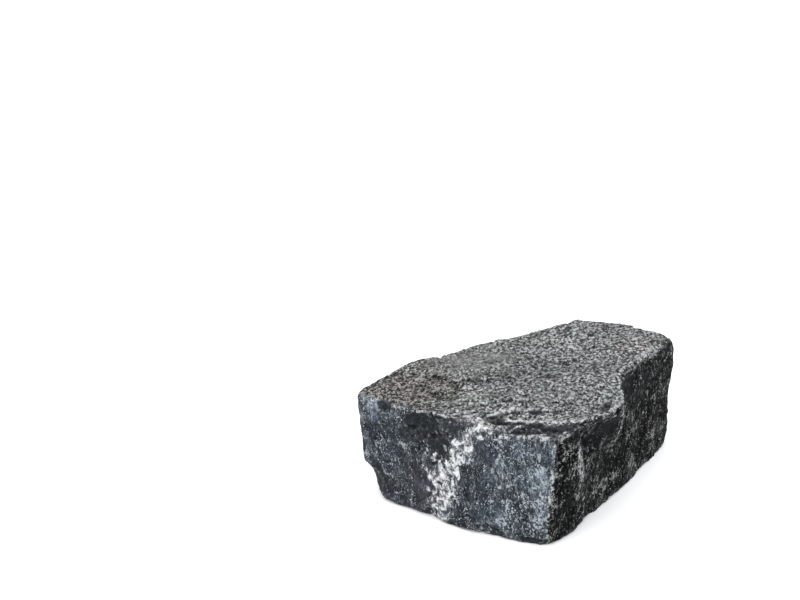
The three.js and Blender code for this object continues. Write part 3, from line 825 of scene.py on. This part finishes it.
# Colours of the stone, as linear light. The steps in the functions below act on noise with a mean of
# about 0.5, so that a higher threshold leaves fewer and smaller marks.
TOP_GREY = (0.101, 0.102, 0.1025)
TOP_GREEN = (0.096, 0.104, 0.101)
LEFT_BLUE = (0.024, 0.0275, 0.032)
# The front wall's colour is lighter than the left wall's, as painted light.
FRONT_LIT_BLUE = (0.033, 0.039, 0.045)
# The right wall's near black is mostly painted shade, over a slightly darker colour of its own.
RIGHT_DARK_AND_SHADED = (0.0028, 0.0031, 0.0031)
# The dark of fresh surface, which also stands as painted shade in hollows and cracks; on the right wall it
# is darker still, as painted shade.
FRESH_AND_SHADE_DARK = (0.014, 0.016, 0.018)
FRESH_RIGHT_SHADED = (0.0062, 0.0075, 0.0078)
LEFT_FLECK = (0.37, 0.40, 0.435)
# The right wall's flecks, partly pale grains and partly painted glints
RIGHT_FLECK_AND_GLINT = (0.25, 0.255, 0.245)
WORN = (0.42, 0.43, 0.435)
MINERAL = (0.60, 0.61, 0.62)
GLOSS = 0.03  # how much light its surface throws straight back


def base_colour(g, masks):
    """Grey or greenish grey on the top, dark blue-grey to black on the walls, the black mostly painted
    shade.
    """
    patch = g.grain(size=13, detail=3)
    top = g.mix(g.step(patch, 0.5, 0.62, end=0.7), TOP_GREY, TOP_GREEN)
    top = g.scaled(top, g.step(g.grain(size=40), 0.4, 0.6, start=0.9, end=1.12))
    # Painted light: the front wall made lighter than the left.
    wall = g.mix(masks["front"], LEFT_BLUE, FRONT_LIT_BLUE)
    # Painted shade: the right wall made near black.
    wall = g.mix(masks["right"], wall, RIGHT_DARK_AND_SHADED)
    wall = g.scaled(wall, g.step(patch, 0.35, 0.65, start=0.65, end=1.35))
    colour = g.tinted(g.mix(masks["top"], wall, top), masks["tint"])
    near_band = g.times(masks["pale"], masks["side"], 0.7)
    colour = g.scaled(colour, g.plus(1.0, near_band))
    # Hollows and cracks: the fresh surface's own dark and painted shade, darker on the right as painted
    # shade.
    fresh_and_shade = g.mix(masks["right"], FRESH_AND_SHADE_DARK, FRESH_RIGHT_SHADED)
    return g.mix(g.times(masks["fresh_and_shade"], 0.9), colour, fresh_and_shade)


def grained(g, masks, colour):
    """Light grains between dark pits, strongest on the top, and the relief that goes with them."""
    grains = g.grain(size=1.5, stretch=(1.1, 1.6, 1.1), detail=3, roughness=0.6, distortion=0.4)
    worms = g.grain(size=3.4, stretch=(0.75, 1.7, 1.0), turn=(0, 0, -38), detail=3, distortion=0.8)
    coarse = g.step(g.grain(size=28, detail=1), 0.44, 0.6)
    mottle = g.grain(size=1.6, stretch=(1, 1, 1.5), detail=3, roughness=0.65, distortion=1.0)
    fine_grain = g.times(g.less(grains, 0.5), g.step(coarse, 0, 1, start=18.5, end=13.0))
    coarse_grain = g.times(g.less(worms, 0.5), g.step(coarse, 0, 1, start=4.5, end=9.8))
    top_grain = g.times(g.plus(fine_grain, coarse_grain), masks["top"], masks["grain"])
    side_strength = g.step(masks["right"], 0, 1, start=7.0, end=3.4)
    side_grain = g.times(g.less(mottle, 0.5), masks["side"], side_strength)
    side_grain = g.times(side_grain, g.step(masks["grain"], 0.2, 1.2, start=0.4, end=1.05))
    calm = g.step(masks["fresh_and_shade"], 0, 1, start=1.0, end=0.4)
    doublings = g.calculate("MINIMUM", g.times(g.plus(top_grain, side_grain), calm), 1.6)
    side_height = g.step(masks["right"], 0, 1, start=0.8, end=0.4)
    side_relief = g.times(g.step(mottle, 0.3, 0.7), masks["side"], side_height)
    relief = g.plus(g.times(g.step(grains, 0.3, 0.7), masks["top"]), side_relief)
    return g.scaled(colour, g.calculate("POWER", 2.0, doublings)), g.times(relief, calm)


def threads(g, masks):
    """Where the curling pale threads run on the walls."""
    bend = g.grain(size=5.0, stretch=(1, 1, 2.2), detail=3, roughness=0.65, distortion=1.4)
    line = g.step(g.calculate("ABSOLUTE", g.less(bend, 0.5)), 0.016, 0.004)
    here_and_there = g.step(g.grain(size=6), 0.45, 0.58)
    return g.times(line, here_and_there, g.step(masks["grain"], 0.3, 1.2, start=0.1, end=0.7))


def flecked(g, masks, colour):
    """Fine pale flecks and curling threads: upright on the left wall, leaning on the others."""
    fine_noise = {"detail": 3, "roughness": 0.6}
    cluster = g.grain(size=8, **fine_noise)
    crowd = g.plus(g.times(g.less(cluster, 0.5), 0.6), g.times(g.less(masks["grain"], 1.0), 0.07))
    upright = g.grain(size=1.6, stretch=(1, 1, 1.8), distortion=1.4, **fine_noise)
    leaning = g.grain(size=1.8, stretch=(1, 1, 2.0), turn=(0, -22, 0), distortion=1.2, **fine_noise)
    slanted = g.grain(size=1.7, stretch=(1, 1, 2.5), turn=(-30, 0, -35), distortion=1.4, **fine_noise)
    specks = g.plus(g.grain(size=1.25, detail=1, distortion=0.5), g.times(crowd, 0.5))
    fine = g.plus(g.times(upright, g.less(1.0, masks["front"])), g.times(leaning, masks["front"]))
    left_crowd = g.plus(crowd, g.times(masks["front"], 0.03))
    left = g.step(g.plus(fine, left_crowd), 0.61, 0.69, end=0.7)
    left = g.most(left, g.step(specks, 0.675, 0.715))
    # On the right wall the pale flecks also stand as painted glints.
    right = g.step(g.plus(slanted, g.times(crowd, 1.3)), 0.635, 0.69, end=0.75)
    right = g.most(right, g.step(specks, 0.67, 0.71))
    curls = threads(g, masks)
    left = g.most(left, curls)
    right = g.most(right, g.times(curls, 0.6))
    quiet = g.times(masks["side"], g.step(masks["fresh_and_shade"], 0.1, 1.0, start=1.0, end=0.12))
    colour = g.mix(g.times(left, g.less(1.0, masks["right"]), quiet), colour, LEFT_FLECK)
    return g.mix(g.times(right, masks["right"], quiet), colour, RIGHT_FLECK_AND_GLINT)


def sparkled(g, masks, colour):
    """Small bright specks scattered over the top: pale grains and painted glints."""
    crowd = g.times(g.less(g.grain(size=11), 0.5), 0.3)
    specks = g.plus(g.grain(size=1.3, detail=1, distortion=0.6), crowd)
    # Painted glints among the grains: small bright specks on the top.
    bright = g.times(g.step(specks, 0.655, 0.70), masks["top"], masks["grain"], 0.55)
    return g.mix(g.times(bright, g.less(1.0, masks["fresh_and_shade"])), colour, WORN)


def weathered(g, masks, colour):
    """Painted shade in the fine pits, and pale wear on the crests and along the worn edges."""
    rub = g.grain(size=2.4, detail=4, roughness=0.7)
    # Painted shade: the fine pits made darker.
    colour = g.scaled(colour, g.step(masks["pit_shade"], 0, 1, start=1.0, end=0.4))
    crests = g.times(masks["crest"], g.step(rub, 0.42, 0.62), g.plus(0.08, g.times(masks["side"], 0.22)))
    colour = g.mix(crests, colour, WORN)
    edge = g.step(g.plus(rub, g.times(g.less(masks["worn"], 1.0), 0.35)), 0.40, 0.62)
    return g.mix(g.times(edge, g.step(masks["worn"], 0.0, 0.3), 0.95), colour, WORN)


def banded(g, masks, colour):
    """The pale mineral band, in blotches, and how much of it shows."""
    blotch = g.grain(size=3.0, stretch=(1, 1, 1.2), detail=5, roughness=0.7, distortion=0.3)
    bar = g.step(masks["pale"], 0, 1, start=0.72, end=0.44)
    mineral = g.step(g.less(blotch, bar), -0.03, 0.15)
    mineral = g.times(mineral, g.step(masks["pale"], 0.02, 0.15))
    return g.mix(mineral, colour, MINERAL), mineral


def limestone():
    """The stone's material: grey grain on the top, flecked dark walls, worn edges and a pale band."""
    material = bpy.data.materials.new("limestone")
    g = Graph(material)
    names = ("top", "right", "front", "fresh_and_shade", "worn", "pale", "crest", "pit_shade", "grain")
    masks = {name: g.mask(name) for name in names}
    masks["tint"] = g.mask("tint", "Color")
    masks["side"] = g.less(1.0, masks["top"])
    colour, relief = grained(g, masks, base_colour(g, masks))
    colour = sparkled(g, masks, flecked(g, masks, colour))
    colour = weathered(g, masks, colour)
    colour, mineral = banded(g, masks, colour)
    g.feed(g.shader.inputs["Base Color"], colour)
    g.feed(g.shader.inputs["Roughness"], g.step(masks["fresh_and_shade"], 0, 1, start=0.85, end=0.6))
    g.shader.inputs["Specular IOR Level"].default_value = GLOSS
    height = g.plus(relief, g.times(mineral, 0.5))
    g.feed(g.shader.inputs["Normal"], g.bump(height, distance=0.45, strength=0.9))
    return material


def merge_foot(mesh):
    """Joins the flat faces that the stone rests on into large ones."""
    work = bmesh.new()
    work.from_mesh(mesh)
    ground = 0.01 * MM
    flat = [corner for corner in work.verts if corner.co.z < ground]
    inner = [edge for edge in work.edges if all(corner.co.z < ground for corner in edge.verts)]
    bmesh.ops.dissolve_limit(work, angle_limit=math.radians(0.5), verts=flat, edges=inner)
    work.to_mesh(mesh)
    work.free()


def keep_on_mesh(mesh, numbers, tint):
    """Keeps the masks and the tint on the mesh, where the material reads them by name."""
    for name, values in numbers.items():
        attribute = mesh.attributes.new(name, "FLOAT", "POINT")
        attribute.data.foreach_set("value", values.astype(np.float32))
    opaque = np.concatenate([tint, np.ones((len(tint), 1))], 1).astype(np.float32)
    mesh.attributes.new("tint", "FLOAT_COLOR", "POINT").data.foreach_set("color", opaque.ravel())


def stone():
    """The finished stone as one object."""
    mesh = fine_copy(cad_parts["rock"])
    surface = Surface(mesh)
    fresh_and_shade, worn_lines = sculpt(surface)
    keep_in_box(surface)
    mesh.vertices.foreach_set("co", ((surface.points + FRONT_TOE) * MM).ravel())
    top = top_share(surface)
    tint, grain = patched(surface, top)
    numbers = {"grain": grain, **surface_masks(surface, fresh_and_shade, worn_lines, top)}
    keep_on_mesh(mesh, numbers, tint)
    merge_foot(mesh)
    mesh.polygons.foreach_set("use_smooth", np.ones(len(mesh.polygons), bool))
    mesh.materials.clear()
    mesh.materials.append(limestone())
    mesh.update()
    return placed("stone", mesh)


def floor():
    """A wide white floor under the stone."""
    material = bpy.data.materials.new("white floor")
    material.use_nodes = True
    shader = material.node_tree.nodes["Principled BSDF"]
    shader.inputs["Base Color"].default_value = (*FLOOR_WHITE, 1)
    shader.inputs["Roughness"].default_value = 0.9
    corners = [(x * FLOOR_REACH, y * FLOOR_REACH, 0) for x, y in ((-1, -1), (1, -1), (1, 1), (-1, 1))]
    mesh = bpy.data.meshes.new("floor")
    mesh.from_pydata(corners, [], [(0, 1, 2, 3)])
    mesh.materials.append(material)
    return placed("floor", mesh)


def light():
    """Soft light from the upper left, and an even pale sky."""
    sun = bpy.data.lights.new("sun", "SUN")
    sun.energy = SUN_STRENGTH
    sun.angle = math.radians(SUN_SOFTNESS)
    placed("sun", sun).rotation_euler = Vector(SUN_FROM).to_track_quat("Z", "Y").to_euler()
    world = bpy.data.worlds.new("sky")
    world.use_nodes = True
    background = world.node_tree.nodes["Background"]
    background.inputs["Color"].default_value = (*SKY_WHITE, 1)
    background.inputs["Strength"].default_value = SKY_STRENGTH
    bpy.context.scene.world = world


def camera():
    """The camera, where the photograph was taken from."""
    lens = bpy.data.cameras.new("camera")
    lens.lens = CAMERA_LENS
    lens.sensor_width = CAMERA_SENSOR
    lens.clip_start = 0.01
    eye = placed("camera", lens)
    eye.location = (CAMERA_AT + FRONT_TOE) * MM
    eye.rotation_euler = (math.radians(90 - CAMERA_PITCH), 0, 0)
    bpy.context.scene.camera = eye
    bpy.context.scene.view_settings.view_transform = "Standard"


camera()
light()
floor()
piece = stone()
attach(piece, "root")
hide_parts("rock")
